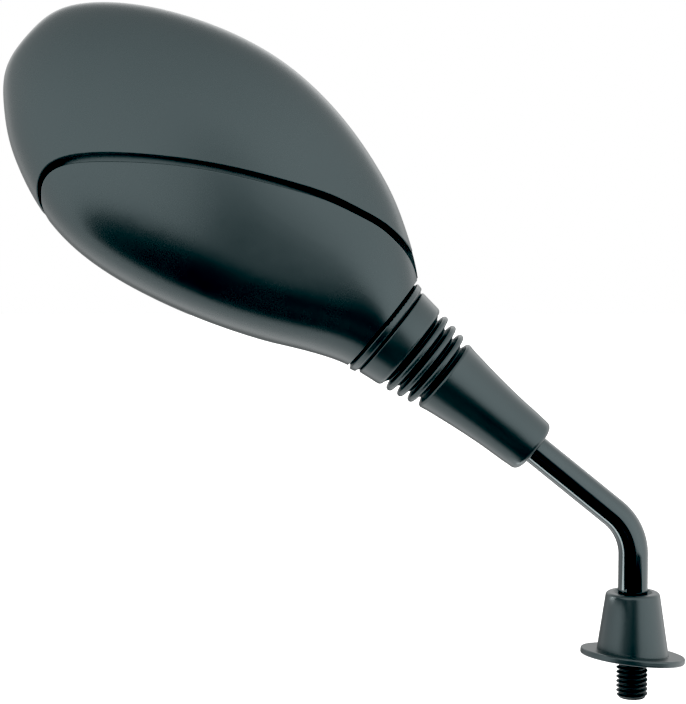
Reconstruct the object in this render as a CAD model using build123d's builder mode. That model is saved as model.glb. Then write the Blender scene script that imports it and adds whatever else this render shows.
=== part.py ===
from build123d import *
import math
import os

os.makedirs("parts", exist_ok=True)

# ---------------------------------------------------------------- dimensions
# All in millimetres. Origin on the stud's axis at the seat plane of the base
# cap, +Z up along the stud. The head lies towards -X and its glass faces +Y.

# stem
rod_r = 4.75              # drawn rod, rolled to thread at the foot
stud_r = 5.0              # M10 x 1.5 major radius
stud_len = 11.7           # full thread below the seat plane
stud_lead = 1.0           # chamfered lead at the stud's end
corner_z = 42.16          # where the two straight runs of the stem meet
bend_r = 17.5             # centreline radius of the bend
neck_angle = 39.0         # rise of the upper run above the horizontal, degrees
corner_s = -0.53          # where the corner lies on the upper run's own scale
axis_drop = 0.65          # how far the neck axis lies below the head's own axis
shoulder_s = 92.25        # end of the full rod, measured along the upper run
spigot_r = 3.0            # spigot that carries the ball
spigot_end_s = 102.1

# ball joint, on the neck axis
ball_s = 97.5
ball_r = 7.0
cup_in_r, cup_out_r = 7.05, 8.55
seat_r = 8.6
bore_r = 10.8             # bore of the neck above the ball's equator

# neck
tube_r = 12.8
tube_s0 = 93.2
tube_s1 = 100.25
neck_floor_r = 13.2
groove_r = 16.0           # floor of the grooves beside the neck band
band_s0, band_s1, band_r = 101.0, 103.2, 17.0
head_s0 = 104.2           # end face of the head
ring_s1 = 107.2           # inner end of the neck ring

# head: stations along the neck axis, upper and lower edge, depth of the domed
# back, place of the widest plane, depth behind it, skew of the crest
head = [
    (104.2, 18.4, -17.5, 17.8, 0.00, 17.5, 0.00),
    (109.5, 22.7, -19.1, 18.9, 0.35, 18.7, 0.04),
    (116.5, 27.5, -22.0, 20.3, 1.17, 23.5, 0.13),
    (126.0, 33.1, -26.6, 22.1, 2.62, 35.1, 0.23),
    (138.0, 38.1, -31.7, 24.0, 4.12, 48.3, 0.32),
    (152.0, 42.1, -36.5, 25.6, 5.00, 57.0, 0.37),
    (167.0, 44.4, -40.4, 26.6, 5.00, 60.0, 0.39),
    (182.0, 44.5, -42.9, 27.0, 5.00, 60.0, 0.40),
    (197.0, 42.1, -43.2, 26.4, 5.00, 59.4, 0.40),
    (211.0, 37.8, -40.5, 24.4, 5.00, 55.7, 0.37),
    (223.0, 32.5, -35.6, 21.5, 5.00, 49.7, 0.33),
    (233.0, 26.5, -29.5, 18.0, 5.00, 41.6, 0.29),
    (240.5, 20.4, -22.7, 14.0, 5.00, 32.3, 0.26),
    (245.5, 14.5, -16.8, 10.1, 5.00, 22.8, 0.25),
    (248.4, 7.3, -9.9, 5.6, 5.00, 12.5, 0.25),
]
head_tip = (249.5, -1.3, 5.0)   # along the axis, across it, depth
rim_y = 19.0              # plane of the head's open front
wall = 2.5                # housing wall
cover_wall = 2.2          # lower cover wall
floor_out = 4.2           # housing floor below the cover, outer face
floor_in = 6.2            # and inner face
split_y = 2.2             # plane where the cover's recess ends behind
split_gap = 0.9
gap_edge_r = 0.4          # rounding of the housing's edge along the shadow gap
cover_edge_r = 0.4        # and of the cover's

# shadow gap between housing and lower cover: centre line in X, Z and half width
gap_line = [
    (-185.7, 136.6, 0.5),
    (-186.5, 140.2, 0.5),
    (-187.3, 143.2, 0.5),
    (-187.7, 145.9, 0.5),
    (-187.6, 148.6, 0.6),
    (-187.0, 151.7, 0.7),
    (-185.7, 154.3, 0.85),
    (-183.7, 156.4, 1.0),
    (-180.2, 158.2, 1.1),
    (-173.6, 159.5, 1.2),
    (-166.6, 159.8, 1.25),
    (-153.2, 159.3, 1.15),
    (-139.9, 157.9, 1.05),
    (-123.5, 154.8, 1.05),
    (-110.3, 151.5, 1.0),
    (-96.7, 147.2, 0.95),
    (-87.9, 143.0, 0.9),
    (-80.8, 138.9, 0.9),
    (-76.2, 134.8, 0.9),
    (-72.5, 130.3, 0.85),
    (-70.6, 126.7, 0.8),
    (-69.4, 123.0, 0.8),
    (-68.6, 119.0, 0.8),
]

# mirror glass and its seat
glass_r = 1200.0          # convex radius
glass_t = 2.2
pad_t = 1.0
plate_t = 2.4
glass_y = 18.3            # crown of the glass
bezel_y0, bezel_y1 = 13.6, 19.9
# outline of the opening: along the neck axis and across it
opening = [
    (246.7, 0.0), (239.3, 17.3), (220.7, 30.6), (196.8, 39.3), (168.8, 41.9),
    (142.0, 36.3), (122.2, 24.1), (112.5, 8.3), (114.7, -8.0), (126.9, -22.0),
    (146.3, -31.7), (169.5, -38.1), (197.4, -40.5), (223.3, -32.3), (240.9, -17.8),
]
glass_in = 1.0            # edge of the glass inside the opening
lip_in = 1.6              # inner edge of the bezel's lip
pad_in, plate_in = 4.0, 1.3
ledge_in = 0.9            # ledge round the opening that carries the bezel
ledge_y, rim_in_y = 13.4, 12.0   # top of the ledge, and where the thin wall ends below it

# cover screws: X, Z, spot face, end of the boss, tip of the screw
cover_screw_at = [(-158.0, 138.0, -15.6, -17.75, -20.0), (-112.0, 121.0, -14.0, -15.9, -18.3)]
# backing plate screws: X, Z, foot of the post in the wall
plate_screw_at = [(-172.0, 168.0, -17.6), (-112.0, 158.0, -13.8), (-128.0, 122.0, -14.3)]
post_y = 11.6             # top of the posts

# rubber boot
collar_s0, collar_s1 = 91.9, 100.15
collar_r0, collar_r1 = 15.25, 16.15
ribs = [(89.2, 15.0), (85.4, 14.3), (81.7, 13.55)]     # place and radius
rib_half = 1.0
valley_depth = 3.0        # of the groove between two ribs
rib_root = 1.5            # half thickness of a rib at its root
sleeve_s0, sleeve_s1 = 41.0, 78.8
sleeve_r0, sleeve_r1 = 9.1, 12.7
sleeve = [(46.0, 9.45), (54.0, 9.88), (62.0, 10.57), (70.0, 11.52), (77.0, 12.55)]   # place and radius of its flare

# base cap, nut and washer
cap_top_z, cap_top_r, cap_base_r = 21.7, 8.65, 11.6
flange_r, flange_t = 16.75, 2.1
flange_tilt, flange_pitch = 5.5, 4.2   # lower on the outer side, and lower on the glass side
nut_af, nut_t = 14.0, 6.0
washer_r, washer_t = 8.9, 1.5

# ---------------------------------------------------------------- helpers
ca, sa = math.cos(math.radians(neck_angle)), math.sin(math.radians(neck_angle))
along = Vector(-ca, 0, sa)
across = Vector(sa, 0, ca)
bend_corner = Vector(0, 0, corner_z)
corner = bend_corner - along * corner_s      # zero of the neck axis
head_zero = corner + across * axis_drop      # zero of the head's own axis
neck_axis = Axis(corner, along)
neck_plane = Plane(origin=corner, x_dir=across, z_dir=(0, -1, 0))   # local (radius, distance)


def neck_at(s):
    """Plane square to the neck axis: local x across it, local y towards the glass."""
    return Plane(origin=corner + along * s, x_dir=across, z_dir=along)


def head_at(s):
    """Plane square to the head's own axis, which runs beside the neck axis."""
    return Plane(origin=head_zero + along * s, x_dir=across, z_dir=along)


def axis_xz(s, e):
    p = head_zero + along * s + across * e
    return p.X, p.Z


def section(row, inset):
    s, hi, lo, dome, mid, back, skew = row
    a, c = (hi - lo) / 2 - inset, (hi + lo) / 2
    pts = []
    for k in range(20):
        t = 2 * math.pi * k / 20
        sn, cs = math.sin(t), math.cos(t)
        if sn >= 0:
            pts.append((c + a * cs - skew * a * sn * sn, mid - (dome - inset) * sn))
        else:
            pts.append((c + a * cs, mid - (back - inset) * sn))
    return pts


def head_solid(inset):
    """Closed egg of the head, drawn in by inset."""
    rows = [r for r in head if r[3] - inset > 2.0 and (r[1] - r[2]) / 2 - inset > 2.5]
    pull = inset / (head_tip[0] - 176.0)
    with BuildPart() as egg:
        for r in rows:
            s = r[0] - (max(0.0, r[0] - 176.0)) * pull
            with BuildSketch(head_at(s)):
                with BuildLine():
                    Spline(*section(r, inset), periodic=True)
                make_face()
        tip = head_zero + along * (head_tip[0] - inset) + across * head_tip[1] + Vector(0, head_tip[2], 0)
        loft(egg.pending_faces + [Vertex(tip.X, tip.Y, tip.Z)])
    return egg.part


def gap_points(side, extra):
    """Edge of the shadow gap: side +1 is the housing's, -1 the cover's."""
    pts = []
    n = len(gap_line)
    for i, (x, z, h) in enumerate(gap_line):
        x0, z0, _ = gap_line[max(0, i - 1)]
        x1, z1, _ = gap_line[min(n - 1, i + 1)]
        tx, tz = x1 - x0, z1 - z0
        m = math.hypot(tx, tz)
        nx, nz = -tz / m, tx / m
        d = side * h + extra
        pts.append((x + nx * d, z + nz * d))
    return pts


def zone(side, extra, y1):
    """Block below the shadow gap, from in front of the head back to plane y1."""
    pts = gap_points(side, extra)
    (xa, za), (xb, zb) = pts[0], pts[-1]
    with BuildPart() as block:
        with BuildSketch(Plane(origin=(0, y1, 0), x_dir=(1, 0, 0), z_dir=(0, -1, 0))):
            with BuildLine():
                Spline(*pts)
                Polyline((xb, zb), (xb + 4, 40), (xa, 40), (xa, za))
            make_face()
        extrude(amount=60)
    return block.part


opening_edge = Spline(*[axis_xz(s, e) for s, e in opening], periodic=True)


area2 = sum(
    opening_edge.position_at(k / 36).X * opening_edge.position_at((k + 1) / 36).Y
    - opening_edge.position_at((k + 1) / 36).X * opening_edge.position_at(k / 36).Y
    for k in range(36)
)
turn = 1 if area2 > 0 else -1


def outline_points(inset):
    """Points of the opening's outline, moved inwards by inset."""
    pts = []
    for k in range(36):
        p, t = opening_edge.position_at(k / 36), opening_edge.tangent_at(k / 36)
        pts.append((p.X - t.Y * inset * turn, p.Y + t.X * inset * turn))
    return pts


def outline_block(inset, y0, y1):
    """Opening outline, drawn in by inset, extruded from y0 back to y1."""
    with BuildPart() as block:
        with BuildSketch(Plane(origin=(0, y1, 0), x_dir=(1, 0, 0), z_dir=(0, -1, 0))):
            with BuildLine():
                Spline(*(outline_points(inset) if inset else [axis_xz(s, e) for s, e in opening]), periodic=True)
            make_face()
        extrude(amount=y1 - y0)
    return block.part


def ball_sector(r0, r1, a0, a1):
    """Ring sector about the ball's centre, angles from the equator in degrees."""
    with BuildPart() as ring:
        with BuildSketch(neck_plane):
            with BuildLine():
                p = [(r * math.cos(math.radians(a)), ball_s + r * math.sin(math.radians(a)))
                     for r in (r0, r1) for a in (a0, (a0 + a1) / 2, a1)]
                ThreePointArc(p[0], p[1], p[2])
                Line(p[2], p[5])
                ThreePointArc(p[5], p[4], p[3])
                Line(p[3], p[0])
            make_face()
        revolve(axis=neck_axis)
    return ring.part


def neck_turn(points):
    """Body of revolution about the neck axis from (radius, distance) corners."""
    with BuildPart() as body:
        with BuildSketch(neck_plane):
            with BuildLine():
                Polyline(*points, close=True)
            make_face()
        revolve(axis=neck_axis)
    return body.part




def y_bar(x, z, r, y0, y1):
    """Round bar along Y at x, z."""
    with BuildPart() as bar:
        with BuildSketch(Plane(origin=(x, y1, z), x_dir=(1, 0, 0), z_dir=(0, -1, 0))):
            Circle(r)
        extrude(amount=y1 - y0)
    return bar.part


def y_turn(x, z, points):
    """Body of revolution about a line along Y at x, z, from (radius, y) corners."""
    with BuildPart() as body:
        with BuildSketch(Plane(origin=(x, 0, z), x_dir=(1, 0, 0), z_dir=(0, 0, 1))):
            with BuildLine():
                Polyline(*points, close=True)
            make_face()
        revolve(axis=Axis((x, 0, z), (0, 1, 0)))
    return body.part


def z_turn(points):
    """Body of revolution about the stud's axis from (radius, height) corners."""
    with BuildPart() as body:
        with BuildSketch(Plane.XZ):
            with BuildLine():
                Polyline(*points, close=True)
            make_face()
        revolve(axis=Axis.Z)
    return body.part


def crown(r):
    """Ball about the glass's centre of curvature, its poles far above and below the glass."""
    with BuildPart() as ball:
        with Locations((glass_mid[0], glass_c, glass_mid[1])):
            Sphere(r, rotation=(0, 0, 180))
    return ball.part


def front_of(y):
    """Everything in front of the head's open side, from plane y on."""
    with BuildPart() as block:
        with BuildSketch(Plane(origin=(-130, y, 140), x_dir=(1, 0, 0), z_dir=(0, 1, 0))):
            Rectangle(300, 300)
        extrude(amount=80)
    return block.part


def gap_edges(part, side):
    """Outer edges of a shell along its side of the shadow gap."""
    pts = gap_points(side, 0.0)
    found = []
    for edge in part.edges():
        hits = 0
        for t in (0.1, 0.5, 0.9):
            p = edge.position_at(t)
            for (x0, z0), (x1, z1) in zip(pts[:-1], pts[1:]):
                m = math.hypot(x1 - x0, z1 - z0)
                k = ((p.X - x0) * (x1 - x0) + (p.Z - z0) * (z1 - z0)) / (m * m)
                d = abs((p.X - x0) * (z1 - z0) - (p.Z - z0) * (x1 - x0)) / m
                if -0.1 <= k <= 1.1 and d < 0.4:
                    hits += 1
                    break
        if hits == 3 and edge.length > 40 and edge.position_at(0.5).Y > -40:
            found.append(edge)
    return sorted(found, key=lambda g: g.position_at(0.5).Y)[:1]


# ---------------------------------------------------------------- head shells
egg_outer = head_solid(0)
egg_wall = head_solid(wall)
egg_cover = head_solid(cover_wall)
egg_floor_out = head_solid(floor_out)
egg_floor_in = head_solid(floor_in)

recess = zone(+1, 0.0, split_y)
recess_wide = zone(+1, 2.2, split_y + 2.2)
cover_zone = zone(-1, 0.0, split_y - split_gap)

glass_mid = axis_xz(178.0, 0.0)
glass_c = glass_y - glass_r

# inside of the housing: thin wall above, a step inwards below the cover
with BuildPart() as step_block:
    add(recess_wide)
    add(egg_floor_in, mode=Mode.SUBTRACT)

with BuildPart() as cavity:
    add(egg_wall)
    add(step_block.part, mode=Mode.SUBTRACT)
    with BuildSketch(neck_at(head_s0 - 10)):
        Circle(80)
    extrude(amount=12.2, mode=Mode.SUBTRACT)
    add(front_of(rim_in_y), mode=Mode.SUBTRACT)

with BuildPart() as recess_cut:
    add(recess)
    add(egg_floor_out, mode=Mode.SUBTRACT)

with BuildPart() as neck:
    with BuildSketch(neck_plane):
        with BuildLine():
            Polyline((5.5, tube_s0), (tube_r, tube_s0), (tube_r, tube_s1), (groove_r - 0.6, tube_s1),
                     (band_r - 0.75, band_s0), (band_r - 0.55, band_s0))
            TangentArc((band_r - 0.55, band_s0), (band_r + 0.05, band_s0 + 0.55), tangent=(1, 0))
            Line((band_r + 0.05, band_s0 + 0.55), (band_r + 0.3, band_s1 - 0.55))
            TangentArc((band_r + 0.3, band_s1 - 0.55), (band_r - 0.3, band_s1), tangent=(0.14, 1))
            Polyline((band_r - 0.3, band_s1), (groove_r, head_s0 - 0.3), (neck_floor_r, head_s0 - 0.3),
                     (neck_floor_r, ring_s1), (5.5, ring_s1), (5.5, tube_s0))
        make_face()
    revolve(axis=neck_axis)

with BuildPart() as main_housing:
    add(egg_outer)
    add(front_of(rim_y), mode=Mode.SUBTRACT)
    add(cavity.part, mode=Mode.SUBTRACT)
    add(recess_cut.part, mode=Mode.SUBTRACT)
    add(outline_block(ledge_in, rim_in_y - 1.5, 30), mode=Mode.SUBTRACT)
    add(outline_block(0, ledge_y, 30), mode=Mode.SUBTRACT)
    fillet(gap_edges(main_housing.part, +1), radius=gap_edge_r)
    add(neck.part)
    # posts for the backing plate, rooted in the wall
    for x, z, y0 in plate_screw_at:
        add(y_bar(x, z, 3.4, y0, post_y))
    # socket for the ball joint and bore for the rings that close it
    with BuildSketch(neck_plane):
        with BuildLine():
            Line((0, ball_s - seat_r), (0, ball_s + seat_r))
            CenterArc((0, ball_s), seat_r, 90, -180)
        make_face()
    revolve(axis=neck_axis, mode=Mode.SUBTRACT)
    with BuildSketch(neck_at(ball_s + 0.1)):
        Circle(bore_r)
    extrude(amount=ring_s1 - ball_s + 6, mode=Mode.SUBTRACT)
    # pilot holes in the posts
    for x, z, y0 in plate_screw_at:
        add(y_bar(x, z, 1.25, 2.0, post_y + 1), mode=Mode.SUBTRACT)
    # seats and clearance holes for the cover screws
    for x, z, spot, boss, tip in cover_screw_at:
        add(y_bar(x, z, 3.6, spot, spot + 5), mode=Mode.SUBTRACT)
        add(y_bar(x, z, 1.8, spot - 6, spot + 1), mode=Mode.SUBTRACT)
main_housing.part.label = "main_housing"
export_step(main_housing.part, "parts/main_housing.step")

# lower cover: thin shell with two screw bosses behind it
with BuildPart() as cover_core:
    add(egg_cover)
    for x, z, spot, boss, tip in cover_screw_at:
        add(y_bar(x, z, 3.2, -60, boss), mode=Mode.SUBTRACT)

with BuildPart() as lower_cover:
    add(egg_outer)
    add(cover_zone, mode=Mode.INTERSECT)
    add(cover_core.part, mode=Mode.SUBTRACT)
    fillet(gap_edges(lower_cover.part, -1), radius=cover_edge_r)
    for x, z, spot, boss, tip in cover_screw_at:
        add(y_bar(x, z, 1.5, tip, 0), mode=Mode.SUBTRACT)
lower_cover.part.label = "lower_cover"
export_step(lower_cover.part, "parts/lower_cover.step")

# cover screws: pan heads inside the housing
with BuildPart() as cover_screws:
    for x, z, spot, boss, tip in cover_screw_at:
        add(y_turn(x, z, [(0, tip + 0.1), (0.9, tip + 0.1), (1.5, tip + 1.1), (1.5, spot), (3.0, spot),
                          (3.0, spot + 1.4), (2.2, spot + 2.2), (0, spot + 2.2)]))
        add(y_bar(x, z, 0.8, spot + 0.9, spot + 3), mode=Mode.SUBTRACT)
cover_screws.part.label = "cover_screws"
export_step(cover_screws.part, "parts/cover_screws.step")

# ---------------------------------------------------------------- mirror
r1 = glass_r - glass_t
r2 = r1 - 0.06
r3 = r2 - pad_t
r4 = r3 - 0.06
r5 = r4 - plate_t

with BuildPart() as mirror_glass:
    add(outline_block(glass_in, 8, 26))
    add(crown(glass_r), mode=Mode.INTERSECT)
    add(crown(r1), mode=Mode.SUBTRACT)
mirror_glass.part.label = "mirror_glass"
export_step(mirror_glass.part, "parts/mirror_glass.step")

with BuildPart() as glass_pad:
    add(outline_block(pad_in, 8, 26))
    add(crown(r2), mode=Mode.INTERSECT)
    add(crown(r3), mode=Mode.SUBTRACT)
glass_pad.part.label = "glass_pad"
export_step(glass_pad.part, "parts/glass_pad.step")

plate_screw_y = [glass_c + math.sqrt(r4 ** 2 - (x - glass_mid[0]) ** 2 - (z - glass_mid[1]) ** 2) - 0.2
                 for x, z, y0 in plate_screw_at]
with BuildPart() as backing_plate:
    add(outline_block(plate_in, 8, 26))
    add(crown(r4), mode=Mode.INTERSECT)
    add(crown(r5), mode=Mode.SUBTRACT)
    for (x, z, y0), y in zip(plate_screw_at, plate_screw_y):
        add(y_turn(x, z, [(0, y - 6), (1.7, y - 6), (1.7, y - 1.4), (3.1, y), (3.1, y + 3), (0, y + 3)]),
            mode=Mode.SUBTRACT)
backing_plate.part.label = "backing_plate"
export_step(backing_plate.part, "parts/backing_plate.step")

# countersunk screws that hold the plate to the posts
with BuildPart() as plate_screws:
    for (x, z, y0), y in zip(plate_screw_at, plate_screw_y):
        add(y_turn(x, z, [(0, y - 9), (0.6, y - 9), (1.25, y - 8), (1.25, y - 1.75), (2.95, y - 0.05), (0, y - 0.05)]))
        add(y_bar(x, z, 0.7, y - 1.1, y + 1), mode=Mode.SUBTRACT)
plate_screws.part.label = "plate_screws"
export_step(plate_screws.part, "parts/plate_screws.step")

with BuildPart() as glass_room:
    add(outline_block(glass_in - 0.12, 8, 26))
    add(crown(glass_r + 0.1), mode=Mode.INTERSECT)

with BuildPart() as bezel:
    add(outline_block(0.12, bezel_y0, bezel_y1))
    fillet(bezel.faces().sort_by(Axis.Y)[-1].outer_wire().edges(), radius=1.1)
    add(outline_block(lip_in, 0, 30), mode=Mode.SUBTRACT)
    add(glass_room.part, mode=Mode.SUBTRACT)
bezel.part.label = "bezel"
export_step(bezel.part, "parts/bezel.step")

# ---------------------------------------------------------------- ball joint
with BuildPart() as pivot_ball:
    with BuildSketch(neck_plane):
        with BuildLine():
            Line((0, ball_s - ball_r), (0, ball_s + ball_r))
            CenterArc((0, ball_s), ball_r, 90, -180)
        make_face()
    revolve(axis=neck_axis)
    add(neck_turn([(0, ball_s - 9), (9, ball_s - 9), (9, shoulder_s + 0.05), (0, shoulder_s + 0.05)]), mode=Mode.SUBTRACT)
    add(neck_turn([(0, 80), (spigot_r + 0.04, 80), (spigot_r + 0.04, 110), (0, 110)]), mode=Mode.SUBTRACT)
    add(neck_turn([(0, ball_s + 2.6), (4.3, ball_s + 2.6), (4.3, 110), (0, 110)]), mode=Mode.SUBTRACT)
pivot_ball.part.label = "pivot_ball"
export_step(pivot_ball.part, "parts/pivot_ball.step")

# spring clip in the spigot's groove, open on one side
with BuildPart() as ball_clip:
    add(neck_turn([(2.44, ball_s + 2.7), (4.0, ball_s + 2.7), (4.0, ball_s + 3.3), (2.44, ball_s + 3.3)]))
    with BuildSketch(neck_at(ball_s)):
        with Locations((4, 0)):
            Rectangle(8, 2.2)
    extrude(amount=6, mode=Mode.SUBTRACT)
ball_clip.part.label = "ball_clip"
export_step(ball_clip.part, "parts/ball_clip.step")

lower_ball_cup = ball_sector(cup_in_r, cup_out_r, -28, -4)
lower_ball_cup.label = "lower_ball_cup"
export_step(lower_ball_cup, "parts/lower_ball_cup.step")

upper_ball_cup = ball_sector(cup_in_r, cup_out_r, 4, 44)
upper_ball_cup.label = "upper_ball_cup"
export_step(upper_ball_cup, "parts/upper_ball_cup.step")

# ring with a spherical seat, a disc spring on it, and the threaded ring on top
with BuildPart() as seat_ring:
    add(neck_turn([(5.0, ball_s + 0.5), (bore_r - 0.05, ball_s + 0.5), (bore_r - 0.05, ball_s + 6.0), (5.0, ball_s + 6.0)]))
    with BuildSketch(neck_plane):
        with BuildLine():
            Line((0, ball_s - seat_r), (0, ball_s + seat_r))
            CenterArc((0, ball_s), seat_r, 90, -180)
        make_face()
    revolve(axis=neck_axis, mode=Mode.SUBTRACT)
    add(neck_turn([(0, 80), (6.2, 80), (6.2, 120), (0, 120)]), mode=Mode.SUBTRACT)
seat_ring.part.label = "seat_ring"
export_step(seat_ring.part, "parts/seat_ring.step")

disc_spring = neck_turn([(6.8, ball_s + 6.75), (10.5, ball_s + 6.02), (10.5, ball_s + 6.62), (6.8, ball_s + 7.35)])
disc_spring.label = "disc_spring"
export_step(disc_spring, "parts/disc_spring.step")

with BuildPart() as lock_ring:
    add(neck_turn([(6.6, ball_s + 7.4), (bore_r - 0.05, ball_s + 7.4), (bore_r - 0.05, ball_s + 10.2),
                   (bore_r - 0.5, ball_s + 10.6), (6.6, ball_s + 10.6)]))
    with BuildSketch(neck_at(ball_s + 9.2)):
        Rectangle(40, 2.4)
    extrude(amount=4, mode=Mode.SUBTRACT)
lock_ring.part.label = "lock_ring"
export_step(lock_ring.part, "parts/lock_ring.step")

# ---------------------------------------------------------------- rubber boot


def rib_outline(s, r):
    """One rib: two sloping sides and a full round edge."""
    side = r - rib_half
    Line((r - valley_depth, s - rib_root), (side, s - rib_half))
    ThreePointArc((side, s - rib_half), (r, s), (side, s + rib_half))
    Line((side, s + rib_half), (r - valley_depth, s + rib_root))


with BuildPart() as rubber_boot:
    with BuildSketch(neck_plane):
        with BuildLine():
            Line((rod_r + 0.05, sleeve_s0 + 0.5), (sleeve_r0 - 1.9, sleeve_s0))
            RadiusArc((sleeve_r0 - 1.9, sleeve_s0), (sleeve_r0 + 0.1, sleeve_s0 + 1.9), -2.0)
            Spline((sleeve_r0 + 0.1, sleeve_s0 + 1.9), *[(r, s) for s, r in sleeve], (sleeve_r1, sleeve_s1 - 1.2))
            RadiusArc((sleeve_r1, sleeve_s1 - 1.2), (sleeve_r1 - 1.2, sleeve_s1), -1.25)
            roots = [(r - valley_depth, s) for s, r in ribs]
            Polyline((sleeve_r1 - 1.2, sleeve_s1), (roots[2][0] - 0.5, sleeve_s1 + 0.7), (roots[2][0], roots[2][1] - rib_root))
            for s, r in ribs:
                rib_outline(s, r)
            Line((roots[2][0], roots[2][1] + rib_root), (roots[1][0], roots[1][1] - rib_root))
            Line((roots[1][0], roots[1][1] + rib_root), (roots[0][0], roots[0][1] - rib_root))
            Line((roots[0][0], roots[0][1] + rib_root), (collar_r0 - 1.3, collar_s0))
            RadiusArc((collar_r0 - 1.3, collar_s0), (collar_r0 + 0.15, collar_s0 + 1.4), -1.42)
            Line((collar_r0 + 0.15, collar_s0 + 1.4), (collar_r1, collar_s1 - 0.6))
            RadiusArc((collar_r1, collar_s1 - 0.6), (collar_r1 - 0.6, collar_s1), -0.61)
            Polyline((collar_r1 - 0.6, collar_s1), (tube_r + 0.25, collar_s1), (tube_r + 0.25, tube_s0 - 0.3),
                     (9.0, tube_s0 - 0.3), (9.0, 90.5), (7.8, 79.5), (9.6, 76.0), (8.2, 60.0),
                     (rod_r + 0.05, 50.0), (rod_r + 0.05, sleeve_s0 + 0.5))
        make_face()
    revolve(axis=neck_axis)
rubber_boot.part.label = "rubber_boot"
export_step(rubber_boot.part, "parts/rubber_boot.step")

# ---------------------------------------------------------------- stem
shoulder = corner + along * shoulder_s
with BuildPart() as stem:
    with BuildLine():
        FilletPolyline((0, 0, 0.3), (bend_corner.X, bend_corner.Y, bend_corner.Z), (shoulder.X, shoulder.Y, shoulder.Z), radius=bend_r)
    with BuildSketch(Plane(origin=(0, 0, 0.3), x_dir=(1, 0, 0), z_dir=(0, 0, 1))):
        Circle(rod_r)
    sweep()
    add(z_turn([(0, -stud_len - stud_lead), (stud_r - 0.95, -stud_len - stud_lead), (stud_r, -stud_len),
                (stud_r, 0.3), (0, 0.3)]))
    add(neck_turn([(0, shoulder_s - 0.5), (spigot_r, shoulder_s - 0.5), (spigot_r, ball_s + 2.65), (2.4, ball_s + 2.65),
                   (2.4, ball_s + 3.35), (spigot_r, ball_s + 3.35), (spigot_r, spigot_end_s - 0.5),
                   (spigot_r - 0.5, spigot_end_s), (0, spigot_end_s)]))
stem.part.label = "stem"
export_step(stem.part, "parts/stem.step")

# ---------------------------------------------------------------- base cap
slope_x, slope_y = math.tan(math.radians(flange_tilt)), math.tan(math.radians(flange_pitch))
seat = Plane(origin=(0, 0, 0), x_dir=(1, 0, -slope_x), z_dir=(slope_x, slope_y, 1))
with BuildPart() as base_cap:
    with BuildSketch(Plane.XZ):
        with BuildLine():
            Polyline((0, -4), (cap_base_r + 0.8, -4), (cap_top_r + 0.1, cap_top_z - 1.2))
            RadiusArc((cap_top_r + 0.1, cap_top_z - 1.2), (cap_top_r - 1.1, cap_top_z), -1.25)
            Polyline((cap_top_r - 1.1, cap_top_z), (0, cap_top_z), (0, -4))
        make_face()
    revolve(axis=Axis.Z)
    split(bisect_by=seat, keep=Keep.TOP)
    with BuildSketch(seat):
        Circle(flange_r)
    extrude(amount=flange_t)
    fillet(base_cap.edges().filter_by(GeomType.CIRCLE).filter_by(lambda g: g.radius > flange_r - 0.1), radius=0.6)
    add(z_turn([(0, -6), (9.75, -6), (9.75, 0), (8.9, 8.8), (7.2, 12.0), (0, 12.0)]), mode=Mode.SUBTRACT)
    add(z_turn([(0, 10), (rod_r + 0.25, 10), (rod_r + 0.25, cap_top_z - 1.5), (6.3, cap_top_z + 0.1), (0, cap_top_z + 0.1)]),
        mode=Mode.SUBTRACT)
base_cap.part.label = "base_cap"
export_step(base_cap.part, "parts/base_cap.step")

nut_z = 0.8 + washer_t + 0.05
with BuildPart() as lock_nut:
    with BuildSketch(Plane.XY.offset(nut_z)):
        RegularPolygon(nut_af / 2, 6, major_radius=False)
    extrude(amount=nut_t)
    half = nut_af / 2 / math.cos(math.radians(30))
    add(z_turn([(0, nut_z), (half - 0.75, nut_z), (half + 0.1, nut_z + 0.55), (half + 0.1, nut_z + nut_t - 0.55),
                (half - 0.75, nut_z + nut_t), (0, nut_z + nut_t)]), mode=Mode.INTERSECT)
    add(z_turn([(0, 0), (rod_r + 0.06, 0), (rod_r + 0.06, 20), (0, 20)]), mode=Mode.SUBTRACT)
lock_nut.part.label = "lock_nut"
export_step(lock_nut.part, "parts/lock_nut.step")

lock_washer = z_turn([(5.3, 0.8), (washer_r, 0.8), (washer_r, 0.8 + washer_t), (5.3, 0.8 + washer_t)])
lock_washer.label = "lock_washer"
export_step(lock_washer, "parts/lock_washer.step")
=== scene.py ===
import math

import bpy
import numpy as np
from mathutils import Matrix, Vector


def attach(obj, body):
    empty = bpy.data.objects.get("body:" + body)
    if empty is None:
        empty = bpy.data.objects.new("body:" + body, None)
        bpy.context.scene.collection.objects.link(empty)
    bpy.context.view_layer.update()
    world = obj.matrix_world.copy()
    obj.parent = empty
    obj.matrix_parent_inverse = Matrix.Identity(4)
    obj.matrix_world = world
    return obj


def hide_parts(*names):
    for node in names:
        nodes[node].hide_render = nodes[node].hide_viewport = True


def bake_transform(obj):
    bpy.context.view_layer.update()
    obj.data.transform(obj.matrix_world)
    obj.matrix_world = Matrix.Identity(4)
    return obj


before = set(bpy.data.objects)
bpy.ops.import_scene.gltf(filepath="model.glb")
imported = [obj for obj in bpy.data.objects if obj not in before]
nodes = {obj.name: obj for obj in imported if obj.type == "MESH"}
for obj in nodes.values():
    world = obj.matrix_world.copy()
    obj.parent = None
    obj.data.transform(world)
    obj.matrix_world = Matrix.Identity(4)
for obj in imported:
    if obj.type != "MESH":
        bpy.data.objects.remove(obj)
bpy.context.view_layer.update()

MM = 0.001

# ------------------------------------------------------------------ neck frame
ANG = math.radians(39.0)
BEND = np.array([0.0, 0.0, 42.16])                      # where the two runs of the stem meet
U = np.array([-math.cos(ANG), 0.0, math.sin(ANG)])      # along the neck, towards the head
E = np.array([math.sin(ANG), 0.0, math.cos(ANG)])       # across it, in the mirror's plane
Y = np.array([0.0, 1.0, 0.0])
CORNER = BEND + U * 0.53                                # zero of the neck axis


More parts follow.
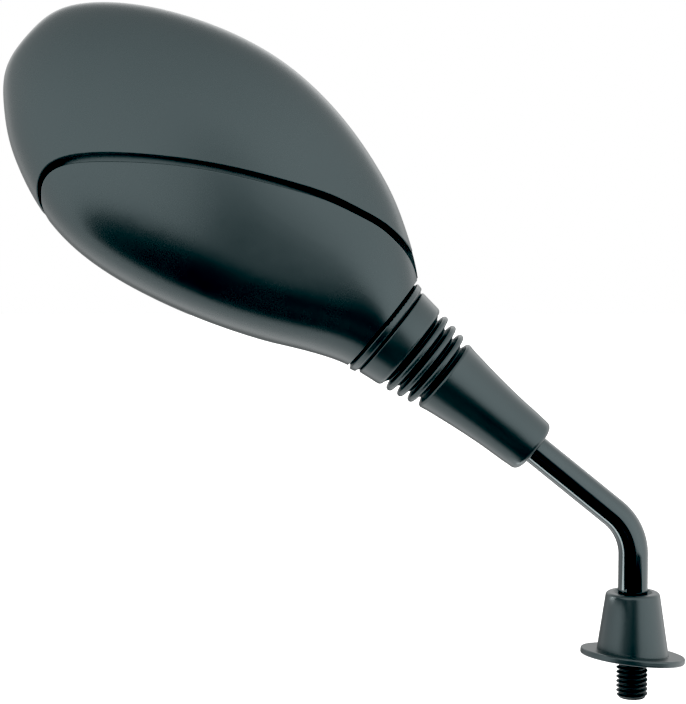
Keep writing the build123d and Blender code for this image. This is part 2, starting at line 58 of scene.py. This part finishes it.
# ------------------------------------------------------------------ mesh helpers
def new_object(name, verts, faces, sharp_deg=32.0):
    mesh = bpy.data.meshes.new(name)
    mesh.from_pydata([tuple(map(float, v)) for v in verts], [], faces)
    mesh.validate()
    mesh.update()
    for p in mesh.polygons:
        p.use_smooth = True
    mesh.set_sharp_from_angle(angle=math.radians(sharp_deg))
    ob = bpy.data.objects.new(name, mesh)
    bpy.context.scene.collection.objects.link(ob)
    return ob


def arc(centre, r, a0, a1, n):
    """Points of an arc in the (radius, distance) plane, angles in degrees from the radius axis."""
    return [
        (centre[0] + r * math.cos(math.radians(a0 + (a1 - a0) * k / n)),
         centre[1] + r * math.sin(math.radians(a0 + (a1 - a0) * k / n)))
        for k in range(n + 1)
    ]


def fillet_path(points, default_n=6):
    """Closed or open chain of (r, s, fillet radius) corners turned into points with round corners."""
    out = []
    n = len(points)
    for i, (x, y, f) in enumerate(points):
        p0, p1, p2 = np.array(points[i - 1][:2]), np.array((x, y)), np.array(points[(i + 1) % n][:2])
        if f <= 0:
            out.append((x, y))
            continue
        d0, d1 = p0 - p1, p2 - p1
        l0, l1 = np.linalg.norm(d0), np.linalg.norm(d1)
        d0, d1 = d0 / l0, d1 / l1
        half = math.acos(max(-1, min(1, float(d0 @ d1)))) / 2
        if half > math.radians(88):
            out.append((x, y))
            continue
        t = min(f / math.tan(half), 0.49 * l0, 0.49 * l1)
        r = t * math.tan(half)
        c = p1 + (d0 + d1) / np.linalg.norm(d0 + d1) * (r / math.sin(half))
        a, b = p1 + d0 * t - c, p1 + d1 * t - c
        a0, a1 = math.atan2(a[1], a[0]), math.atan2(b[1], b[0])
        da = (a1 - a0 + math.pi) % (2 * math.pi) - math.pi
        for k in range(default_n + 1):
            q = a0 + da * k / default_n
            out.append((c[0] + r * math.cos(q), c[1] + r * math.sin(q)))
    return out


def turned(name, loop, n=144, origin=CORNER, axis=U, side=E, sharp_deg=32.0):
    """Closed ring made by turning a closed loop of (radius, distance) points about an axis."""
    third = np.cross(axis, side)
    verts, faces = [], []
    m = len(loop)
    for i in range(n):
        a = 2 * math.pi * i / n
        d = side * math.cos(a) + third * math.sin(a)
        for r, s in loop:
            verts.append((origin + axis * s + d * r) * MM)
    for i in range(n):
        j = (i + 1) % n
        for k in range(m):
            q = (k + 1) % m
            faces.append((i * m + k, i * m + q, j * m + q, j * m + k))
    ob = new_object(name, verts, faces, sharp_deg)
    outwards(ob)
    return ob


def outwards(ob):
    """Turns every face outwards, by the sign of the closed mesh's volume."""
    me = ob.data
    co = np.zeros(len(me.vertices) * 3)
    me.vertices.foreach_get("co", co)
    co = co.reshape(-1, 3)
    me.calc_loop_triangles()
    tri = np.array([t.vertices[:] for t in me.loop_triangles])
    a, b, c = co[tri[:, 0]], co[tri[:, 1]], co[tri[:, 2]]
    if float(np.einsum("ij,ij->i", a, np.cross(b, c)).sum()) < 0:
        me.flip_normals()


# ------------------------------------------------------------------ node helpers
def material(name):
    m = bpy.data.materials.new(name)
    m.use_nodes = True
    nt = m.node_tree
    nt.nodes.clear()
    out = nt.nodes.new("ShaderNodeOutputMaterial")
    b = nt.nodes.new("ShaderNodeBsdfPrincipled")
    nt.links.new(b.outputs[0], out.inputs[0])
    return m, nt, b


def coords(nt):
    return nt.nodes.new("ShaderNodeTexCoord").outputs["Object"]


def noise(nt, vec, scale, detail=3.0, rough=0.55, lac=2.0, dist=0.0):
    n = nt.nodes.new("ShaderNodeTexNoise")
    n.inputs["Scale"].default_value = scale
    n.inputs["Detail"].default_value = detail
    n.inputs["Roughness"].default_value = rough
    n.inputs["Lacunarity"].default_value = lac
    n.inputs["Distortion"].default_value = dist
    nt.links.new(vec, n.inputs["Vector"])
    return n.outputs["Fac"]


def remap(nt, value, a, b, c, d):
    n = nt.nodes.new("ShaderNodeMapRange")
    n.inputs["From Min"].default_value = a
    n.inputs["From Max"].default_value = b
    n.inputs["To Min"].default_value = c
    n.inputs["To Max"].default_value = d
    nt.links.new(value, n.inputs["Value"])
    return n.outputs["Result"]


def maths(nt, op, a, b=None):
    n = nt.nodes.new("ShaderNodeMath")
    n.operation = op
    for i, v in enumerate((a, b)):
        if v is None:
            continue
        if isinstance(v, (int, float)):
            n.inputs[i].default_value = v
        else:
            nt.links.new(v, n.inputs[i])
    return n.outputs[0]


def ramp(nt, value, stops):
    n = nt.nodes.new("ShaderNodeValToRGB")
    e = n.color_ramp.elements
    while len(e) > 1:
        e.remove(e[-1])
    e[0].position, e[0].color = stops[0][0], (*stops[0][1], 1)
    for pos, col in stops[1:]:
        q = e.new(pos)
        q.color = (*col, 1)
    nt.links.new(value, n.inputs[0])
    return n.outputs[0]


def bump(nt, bsdf, height, strength, distance, under=None):
    n = nt.nodes.new("ShaderNodeBump")
    n.inputs["Strength"].default_value = strength
    n.inputs["Distance"].default_value = distance
    nt.links.new(height, n.inputs["Height"])
    if under is not None:
        nt.links.new(under, n.inputs["Normal"])
    nt.links.new(n.outputs[0], bsdf.inputs["Normal"])
    return n.outputs[0]


# ------------------------------------------------------------------ materials
TEAL = (0.81, 0.97, 1.0)     # cool tone of the sheen on all the black surfaces


def satin_plastic(name, dark, light, r0, r1, tint, grain=1.0, spec=0.5):
    """Moulded plastic: fine spark-eroded grain, faint flow marks, soft change of gloss."""
    m, nt, b = material(name)
    v = coords(nt)
    flow = noise(nt, v, 28, 4, 0.6, 2.1, 0.6)
    speck = noise(nt, v, 1500, 2, 0.6)
    mix = maths(nt, "ADD", maths(nt, "MULTIPLY", flow, 0.7), maths(nt, "MULTIPLY", speck, 0.3))
    nt.links.new(ramp(nt, mix, [(0.30, dark), (0.70, light)]), b.inputs["Base Color"])
    nt.links.new(remap(nt, mix, 0.3, 0.7, r0, r1), b.inputs["Roughness"])
    b.inputs["Specular IOR Level"].default_value = spec
    b.inputs["Specular Tint"].default_value = (*tint, 1)
    g = noise(nt, v, 2100, 3, 0.62)
    bump(nt, b, g, 0.6 * grain, 0.000006)
    return m


def gloss_paint(name):
    """Stoved gloss black on drawn rod: faint orange peel, soft rub marks."""
    m, nt, b = material(name)
    v = coords(nt)
    soft = noise(nt, v, 60, 3, 0.5)
    nt.links.new(ramp(nt, soft, [(0.35, (0.0022, 0.0024, 0.0026)), (0.7, (0.0045, 0.0048, 0.0052))]), b.inputs["Base Color"])
    nt.links.new(remap(nt, soft, 0.3, 0.7, 0.06, 0.12), b.inputs["Roughness"])
    b.inputs["Specular IOR Level"].default_value = 0.55
    b.inputs["Specular Tint"].default_value = (*TEAL, 1)
    peel = noise(nt, v, 420, 2, 0.5)
    bump(nt, b, peel, 0.35, 0.00001)
    return m


def black_oxide(name):
    """Rolled thread, oiled black."""
    m, nt, b = material(name)
    v = coords(nt)
    n1 = noise(nt, v, 900, 3, 0.6)
    nt.links.new(ramp(nt, n1, [(0.3, (0.0015, 0.0015, 0.0016)), (0.75, (0.006, 0.006, 0.0062))]), b.inputs["Base Color"])
    nt.links.new(remap(nt, n1, 0.3, 0.7, 0.42, 0.62), b.inputs["Roughness"])
    b.inputs["Specular IOR Level"].default_value = 0.25
    bump(nt, b, n1, 0.5, 0.00001)
    return m


def plated_steel(name):
    m, nt, b = material(name)
    v = coords(nt)
    n1 = noise(nt, v, 260, 4, 0.6)
    n2 = noise(nt, v, 2600, 2, 0.5)
    nt.links.new(ramp(nt, n1, [(0.3, (0.42, 0.43, 0.43)), (0.55, (0.56, 0.56, 0.55)), (0.8, (0.66, 0.65, 0.60))]), b.inputs["Base Color"])
    nt.links.new(remap(nt, n2, 0.3, 0.7, 0.24, 0.40), b.inputs["Roughness"])
    b.inputs["Metallic"].default_value = 1.0
    bump(nt, b, n2, 0.4, 0.000008)
    return m


def silvered_glass(name):
    """Convex glass, chromium-coated, with the faintest wiping marks."""
    m, nt, b = material(name)
    v = coords(nt)
    smear = noise(nt, v, 45, 5, 0.62, 2.0, 1.2)
    nt.links.new(ramp(nt, smear, [(0.3, (0.66, 0.69, 0.705)), (0.75, (0.71, 0.735, 0.745))]), b.inputs["Base Color"])
    nt.links.new(remap(nt, smear, 0.35, 0.8, 0.012, 0.045), b.inputs["Roughness"])
    b.inputs["Metallic"].default_value = 1.0
    return m


def foam(name):
    m, nt, b = material(name)
    v = coords(nt)
    w = nt.nodes.new("ShaderNodeTexVoronoi")
    w.inputs["Scale"].default_value = 2200
    nt.links.new(v, w.inputs["Vector"])
    nt.links.new(ramp(nt, w.outputs["Distance"], [(0.0, (0.05, 0.05, 0.05)), (0.6, (0.13, 0.13, 0.128))]), b.inputs["Base Color"])
    nt.links.new(remap(nt, w.outputs["Distance"], 0.0, 0.6, 0.95, 0.8), b.inputs["Roughness"])
    bump(nt, b, w.outputs["Distance"], 0.8, 0.0001)
    return m


def acetal(name):
    m, nt, b = material(name)
    v = coords(nt)
    n1 = noise(nt, v, 180, 3, 0.5)
    nt.links.new(ramp(nt, n1, [(0.3, (0.70, 0.69, 0.645)), (0.7, (0.79, 0.78, 0.745))]), b.inputs["Base Color"])
    nt.links.new(remap(nt, n1, 0.3, 0.7, 0.25, 0.38), b.inputs["Roughness"])
    bump(nt, b, noise(nt, v, 1600, 2), 0.3, 0.000006)
    return m


M = {
    "housing": satin_plastic("housing_plastic_satin", (0.0022, 0.0028, 0.0030), (0.0036, 0.0044, 0.0047), 0.26, 0.30, TEAL, 0.4),
    "cover": satin_plastic("cover_plastic_satin", (0.0022, 0.0028, 0.0030), (0.0036, 0.0044, 0.0047), 0.25, 0.29, TEAL, 0.4),
    "rubber": satin_plastic("boot_rubber_satin", (0.0022, 0.0028, 0.0030), (0.0040, 0.0048, 0.0050), 0.27, 0.32, TEAL, 0.6),
    "cap": satin_plastic("cap_rubber_satin", (0.0026, 0.0032, 0.0034), (0.0046, 0.0054, 0.0056), 0.28, 0.34, TEAL, 0.7),
    "bezel": satin_plastic("bezel_plastic_satin", (0.0040, 0.0044, 0.0046), (0.0075, 0.0080, 0.0082), 0.34, 0.44, (1, 1, 1), 1.2),
    "inner": satin_plastic("inner_plastic_plain", (0.010, 0.010, 0.011), (0.018, 0.018, 0.019), 0.45, 0.6, (1, 1, 1), 1.6),
    "paint": gloss_paint("stem_paint_gloss"),
    "thread": black_oxide("stud_black_oxide"),
    "zinc": plated_steel("zinc_plate"),
    "mirror": silvered_glass("silvered_glass"),
    "foam": foam("adhesive_foam"),
    "acetal": acetal("natural_acetal"),
}
USE = {
    "main_housing": "housing", "lower_cover": "cover", "bezel": "bezel", "mirror_glass": "mirror",
    "glass_pad": "foam", "backing_plate": "inner", "cover_screws": "zinc", "plate_screws": "zinc",
    "pivot_ball": "acetal", "lower_ball_cup": "acetal", "upper_ball_cup": "acetal", "ball_clip": "zinc",
    "seat_ring": "inner", "disc_spring": "zinc", "lock_ring": "inner", "base_cap": "cap",
    "lock_nut": "zinc", "lock_washer": "zinc", "rubber_boot": "rubber", "stem": "paint",
}
for name, key in USE.items():
    ob = nodes[name]
    for slot in ob.material_slots:
        slot.material = M[key]


# ------------------------------------------------------------------ stem with its rolled thread
def stem_piece():
    n = 112
    pitch, major, root = 1.5, 5.0, 4.08
    ROD = 4.75
    rows, tags = [], []

    def thread_r(z, a):
        d = abs((z / pitch - a / (2 * math.pi)) % 1.0 - 0.5)
        full = major if d < 0.07 else root if d > 0.40 else major + (root - major) * (d - 0.07) / 0.33
        if z < -11.7:
            full = min(full, 4.05 + (z + 12.7) * 0.95)
        if z > -0.2:
            k = min(1.0, (z + 0.2) / 0.5)
            full = full + (ROD - full) * k
        return full

    # thread rows, from the stud's end upwards
    zs = list(np.arange(-12.7, 0.3001, pitch / 20.0)) + [0.3]
    zs = sorted(set([round(z, 4) for z in zs] + [-11.7]))
    for z in zs:
        rows.append([(thread_r(z, 2 * math.pi * i / n) * math.cos(2 * math.pi * i / n),
                      thread_r(z, 2 * math.pi * i / n) * math.sin(2 * math.pi * i / n), z) for i in range(n)])
        tags.append(1)

    def ring(c, d1, d2, r):
        rows.append([tuple(c + (d1 * math.cos(2 * math.pi * i / n) + d2 * math.sin(2 * math.pi * i / n)) * r) for i in range(n)])
        tags.append(0)

    X, Z = np.array([1.0, 0, 0]), np.array([0, 0, 1.0])
    turn = math.radians(51.0)
    R = 17.5
    tl = R * math.tan(turn / 2)
    z0 = BEND[2] - tl
    for z in (0.6, 4.0, 10.0, 18.0, 26.0, z0):
        ring(np.array([0, 0, z]), X, Y, ROD)
    pivot = np.array([-R, 0, z0])
    steps = 36
    for k in range(1, steps + 1):
        a = turn * k / steps
        d = X * math.cos(a) + Z * math.sin(a)
        ring(pivot + d * R, d, Y, ROD)
    for s in (16.0, 30.0, 50.0, 70.0, 85.0, 91.9):
        ring(CORNER + U * s, E, Y, ROD)
    for s, r in ((92.25, 4.4), (92.25, 3.0), (100.15, 3.0), (100.15, 2.4), (100.85, 2.4), (100.85, 3.0), (101.6, 3.0), (102.1, 2.5)):
        ring(CORNER + U * s, E, Y, r)
    verts = [np.array(p) * MM for row in rows for p in row]
    faces, mats = [], []
    for k in range(len(rows) - 1):
        for i in range(n):
            j = (i + 1) % n
            faces.append((k * n + i, k * n + j, (k + 1) * n + j, (k + 1) * n + i))
            mats.append(1 if tags[k] and tags[k + 1] else 0)
    verts += [np.array([0, 0, -12.7]) * MM, (CORNER + U * 102.1) * MM]
    lo, hi, last = len(verts) - 2, len(verts) - 1, (len(rows) - 1) * n
    for i in range(n):
        j = (i + 1) % n
        faces.append((lo, j, i))
        mats.append(1)
        faces.append((hi, last + i, last + j))
        mats.append(0)
    ob = new_object("stem_rod", verts, faces, 24.0)
    outwards(ob)
    ob.data.materials.append(M["paint"])
    ob.data.materials.append(M["thread"])
    ob.data.polygons.foreach_set("material_index", mats)
    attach(ob, "stem")
    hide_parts("stem")
    return ob


stem_piece()


# ------------------------------------------------------------------ bellows boot
SPLIT = 87.3             # in the valley between the second and the third rib
ribs = [(81.7, 13.55), (85.4, 14.3), (89.2, 15.0)]
H, ROOT, DEPTH = 1.0, 1.5, 3.0


def rib(s, r):
    """Rib with sloping sides and a full round edge, from valley to valley."""
    return [(r - DEPTH, s - ROOT, 0.12), (r - H, s - H, 0.0)] + [
        (r - H + H * math.cos(math.radians(a)), s + H * math.sin(math.radians(a)), 0.0) for a in range(-75, 76, 15)
    ] + [(r - H, s + H, 0.0), (r - DEPTH, s + ROOT, 0.12)]


def flare(s0, r0, points, n=6):
    """Smooth run of the sleeve through its (distance, radius) points."""
    pts = [(s0, r0)] + points
    s = np.array([q[0] for q in pts])
    r = np.array([q[1] for q in pts])
    m = np.gradient(r, s)
    out = []
    for i in range(len(s) - 1):
        h = s[i + 1] - s[i]
        for k in range(1, n + 1):
            x = k / n
            out.append((float((2 * x ** 3 - 3 * x ** 2 + 1) * r[i] + (x ** 3 - 2 * x ** 2 + x) * h * m[i]
                              + (3 * x ** 2 - 2 * x ** 3) * r[i + 1] + (x ** 3 - x ** 2) * h * m[i + 1]),
                        float(s[i] + h * x), 0.0))
    return out


lower = (
    [(4.8, 41.5, 0.0), (7.2, 41.0, 0.0)]
    + [(7.2 + 2.0 * math.cos(math.radians(a)), 42.95 + 1.95 * math.sin(math.radians(a)), 0.0) for a in range(-75, 1, 15)]
    + flare(42.95, 9.2, [(46.0, 9.45), (54.0, 9.88), (62.0, 10.57), (70.0, 11.52), (77.0, 12.55), (77.6, 12.68)])
    + [(11.48 + 1.22 * math.cos(math.radians(a)), 77.58 + 1.22 * math.sin(math.radians(a)), 0.0) for a in range(15, 91, 15)]
    + [(10.05, 79.5, 0.12)]
    + rib(*ribs[0])
    + rib(*ribs[1])
    + [(11.62, SPLIT, 0.0), (8.65, SPLIT, 0.0), (7.8, 79.5, 0.8), (9.5, 76.0, 0.8), (8.2, 60.0, 0.8), (4.8, 50.0, 0.8)]
)
upper = (
    [(8.65, SPLIT, 0.0), (11.62, SPLIT, 0.0)]
    + rib(*ribs[2])
    + [(13.95 + 1.44 * math.cos(math.radians(a)), 93.32 + 1.42 * math.sin(math.radians(a)), 0.0) for a in range(-90, -4, 14)]
    + [(15.4, 93.35, 0.0), (16.15, 99.55, 0.0)]
    + [(15.55 + 0.6 * math.cos(math.radians(a)), 99.55 + 0.6 * math.sin(math.radians(a)), 0.0) for a in range(15, 91, 15)]
    + [(13.05, 100.15, 0.2), (13.05, 92.9, 0.3), (9.0, 92.9, 0.3), (9.0, 90.5, 0.4)]
)
boot_low = turned("boot_sleeve", fillet_path(lower, 4), 160, sharp_deg=40)
boot_high = turned("boot_collar", fillet_path(upper, 4), 160, sharp_deg=40)
for ob in (boot_low, boot_high):
    ob.data.materials.append(M["rubber"])
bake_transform(boot_low)
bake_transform(boot_high)
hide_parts("rubber_boot")

# ------------------------------------------------------------------ floor, light, camera
floor = bpy.data.meshes.new("floor")
F = 6.0
floor.from_pydata([(-F, -F, 0), (F, -F, 0), (F, F, 0), (-F, F, 0)], [], [(0, 1, 2, 3)])
floor_ob = bpy.data.objects.new("floor", floor)
floor_ob.location = (0, 0, -0.12)
bpy.context.scene.collection.objects.link(floor_ob)
fm, fnt, fb = material("pale_floor")
fb.inputs["Base Color"].default_value = (0.86, 0.86, 0.86, 1)
fb.inputs["Roughness"].default_value = 0.9
floor.materials.append(fm)
floor_ob.visible_glossy = False
floor_ob.visible_diffuse = False
floor_ob.visible_shadow = False

world = bpy.data.worlds.new("studio")
bpy.context.scene.world = world
world.use_nodes = True
wt = world.node_tree
wt.nodes.clear()
w_out = wt.nodes.new("ShaderNodeOutputWorld")
tc = wt.nodes.new("ShaderNodeTexCoord").outputs["Generated"]
sep = wt.nodes.new("ShaderNodeSeparateXYZ")
wt.links.new(tc, sep.inputs[0])
dx, dy, dz = sep.outputs


def soft_step(value, edge, half):
    n = wt.nodes.new("ShaderNodeMapRange")
    n.interpolation_type = "SMOOTHSTEP"
    n.inputs["From Min"].default_value = edge - half
    n.inputs["From Max"].default_value = edge + half
    wt.links.new(value, n.inputs["Value"])
    return n.outputs["Result"]


def blend_to(a, b, k):
    """a + (b - a) * k, with b a number."""
    return maths(wt, "ADD", a, maths(wt, "MULTIPLY", maths(wt, "SUBTRACT", b, a), k))


# soft light all round: strongest in front, a little weaker overhead and below, weakest behind
L_BACK, L_FRONT, ZENITH, L_LOW, L_RIGHT, L_RIM = 1.23, 3.02, 0.22, 2.05, 0.47, 0.6
front = soft_step(maths(wt, "MULTIPLY", dy, -1.0), 0.0, 0.8)
level = maths(wt, "ADD", maths(wt, "MULTIPLY", front, L_FRONT - L_BACK), L_BACK)
level = maths(wt, "MULTIPLY", level, maths(wt, "SUBTRACT", 1.0, maths(wt, "MULTIPLY", soft_step(dz, 0.7, 0.4), ZENITH)))
level = blend_to(level, L_LOW, soft_step(maths(wt, "MULTIPLY", dz, -1.0), 0.6, 0.3))
level = maths(wt, "ADD", level, maths(wt, "MULTIPLY", maths(wt, "MULTIPLY", soft_step(dy, 0.55, 0.30), soft_step(dz, 0.2, 0.2)), L_RIM))
strength = maths(wt, "ADD", level, maths(wt, "MULTIPLY", soft_step(dx, 0.5, 0.4), L_RIGHT))
# beyond the glass the studio falls from a pale ceiling to a darker floor, which the mirror shows
behind = maths(wt, "MULTIPLY", soft_step(dy, 0.80, 0.14), maths(wt, "SUBTRACT", 1.0, soft_step(dz, 0.25, 0.15)))
fade = remap(wt, dz, -0.42, 0.20, 0.12, 0.62)
strength = maths(wt, "MULTIPLY", strength, blend_to(maths(wt, "MULTIPLY", behind, fade), 1.0, maths(wt, "SUBTRACT", 1.0, behind)))
bg = wt.nodes.new("ShaderNodeBackground")
bg.inputs["Color"].default_value = (1.0, 1.0, 1.0, 1)
wt.links.new(strength, bg.inputs["Strength"])
white = wt.nodes.new("ShaderNodeBackground")
white.inputs["Color"].default_value = (1, 1, 1, 1)
white.inputs["Strength"].default_value = 1.0
mix = wt.nodes.new("ShaderNodeMixShader")
lp = wt.nodes.new("ShaderNodeLightPath")
wt.links.new(lp.outputs["Is Camera Ray"], mix.inputs[0])
wt.links.new(bg.outputs[0], mix.inputs[1])
wt.links.new(white.outputs[0], mix.inputs[2])
wt.links.new(mix.outputs[0], w_out.inputs[0])

# dark side of the studio, seen only in the reflections: the low dark ground in front and the viewer's place
CARD_Y = -0.418


def dark_card(name, pts, opacity_nodes=None):
    me = bpy.data.meshes.new(name)
    me.from_pydata([(x, CARD_Y, z) for x, z in pts], [], [tuple(range(len(pts)))])
    ob = bpy.data.objects.new(name, me)
    bpy.context.scene.collection.objects.link(ob)
    m = bpy.data.materials.new(name + "_black")
    m.use_nodes = True
    nt = m.node_tree
    nt.nodes.clear()
    out = nt.nodes.new("ShaderNodeOutputMaterial")
    black = nt.nodes.new("ShaderNodeEmission")
    black.inputs["Color"].default_value = (0.003, 0.003, 0.003, 1)
    if opacity_nodes is None:
        nt.links.new(black.outputs[0], out.inputs[0])
    else:
        clear = nt.nodes.new("ShaderNodeBsdfTransparent")
        mx = nt.nodes.new("ShaderNodeMixShader")
        nt.links.new(opacity_nodes(nt), mx.inputs[0])
        nt.links.new(clear.outputs[0], mx.inputs[1])
        nt.links.new(black.outputs[0], mx.inputs[2])
        nt.links.new(mx.outputs[0], out.inputs[0])
    me.materials.append(m)
    ob.visible_camera = False
    ob.visible_diffuse = False
    ob.visible_shadow = False
    ob.visible_transmission = False
    return ob


MID, TOP, DROP_L, DROP_R = -0.202, 0.092, 1.25, 1.505
LOW_L, LOW_R = -0.60, -1.60
outline = []
for k in range(-40, 41):
    drop, low = (DROP_L, LOW_L) if k < 0 else (DROP_R, LOW_R)
    u = math.sqrt((TOP - low) / drop) * k / 40.0
    outline.append((MID + u, TOP - drop * u * u * (0.72 + 0.8 * u if u > 0 else 1.0)))
dark_card("dark_ground", outline)

dark_card("dark_right", [(-0.02, -0.03), (0.3, -0.045), (0.7, -0.12), (1.2, -0.27), (1.2, -1.5), (-0.02, -1.5)])



def stem_card(name, y0, y1, level, s0=-2.0, s1=37.0, e=-27.0):
    """Narrow card that runs beside the stem, below it, seen only in its gloss."""
    me = bpy.data.meshes.new(name)
    pts = [(CORNER + U * s + E * e + Y * y) * MM for s, y in ((s0, y0), (s1, y0), (s1, y1), (s0, y1))]
    me.from_pydata([tuple(map(float, q)) for q in pts], [], [(0, 1, 2, 3)])
    ob = bpy.data.objects.new(name, me)
    bpy.context.scene.collection.objects.link(ob)
    m = bpy.data.materials.new(name + "_card")
    m.use_nodes = True
    nt = m.node_tree
    nt.nodes.clear()
    out = nt.nodes.new("ShaderNodeOutputMaterial")
    em = nt.nodes.new("ShaderNodeEmission")
    em.inputs["Color"].default_value = (1, 1, 1, 1)
    em.inputs["Strength"].default_value = level
    nt.links.new(em.outputs[0], out.inputs[0])
    me.materials.append(m)
    ob.visible_camera = False
    ob.visible_diffuse = False
    ob.visible_shadow = False
    ob.visible_transmission = False


stem_card("stem_shade", -40.0, -5.0, 0.003)
stem_card("stem_glint", -5.0, 0.5, 9.0)

STRIP_X, STRIP_W, STRIP_TOP, STRIP_SOFT, STRIP_TOP_SOFT, STRIP_OPACITY = -0.030, 0.055, 0.29, 0.014, 0.16, 0.95
STRIP_FOOT = 0.06        # how much wider on each side the strip is at its foot


def strip_opacity(nt):
    q = nt.nodes.new("ShaderNodeSeparateXYZ")
    nt.links.new(coords(nt), q.inputs[0])
    off = maths(nt, "ABSOLUTE", maths(nt, "SUBTRACT", q.outputs[0], STRIP_X))
    off = maths(nt, "SUBTRACT", off, remap(nt, q.outputs[2], 0.04, 0.22, STRIP_FOOT, 0.0))
    side = maths(nt, "SMOOTH_MAX", remap(nt, off, STRIP_W - STRIP_SOFT, STRIP_W + STRIP_SOFT, 1.0, 0.0), 0.0)
    top = remap(nt, q.outputs[2], STRIP_TOP - STRIP_TOP_SOFT, STRIP_TOP + STRIP_TOP_SOFT, 1.0, 0.0)
    return maths(nt, "MULTIPLY", maths(nt, "MULTIPLY", side, top), STRIP_OPACITY)


w, h = STRIP_W + STRIP_SOFT + STRIP_FOOT, STRIP_TOP + STRIP_TOP_SOFT
dark_card("viewer_place", [(STRIP_X - w, -0.6), (STRIP_X + w, -0.6), (STRIP_X + w, h), (STRIP_X - w, h)], strip_opacity)

scene = bpy.context.scene
scene.view_settings.view_transform = "Standard"
scene.view_settings.use_curve_mapping = True
scene.view_settings.curve_mapping.black_level = (0.0225, 0.0165, 0.0155)
scene.view_settings.curve_mapping.update()

cam_data = bpy.data.cameras.new("camera")
cam = bpy.data.objects.new("camera", cam_data)
scene.collection.objects.link(cam)
scene.camera = cam
target = Vector((-0.0934, 0.0, 0.0991))
tip = math.radians(3.5)
fwd = Vector((0.0, math.cos(tip), -math.sin(tip)))
cam.location = target - fwd * 0.520
cam.rotation_mode = "QUATERNION"
cam.rotation_quaternion = fwd.to_track_quat("-Z", "Y")
cam_data.sensor_width = 36.0
cam_data.lens = 1628.0 / 704.0 * 36.0
cam_data.clip_start = 0.01
cam_data.clip_end = 50.0
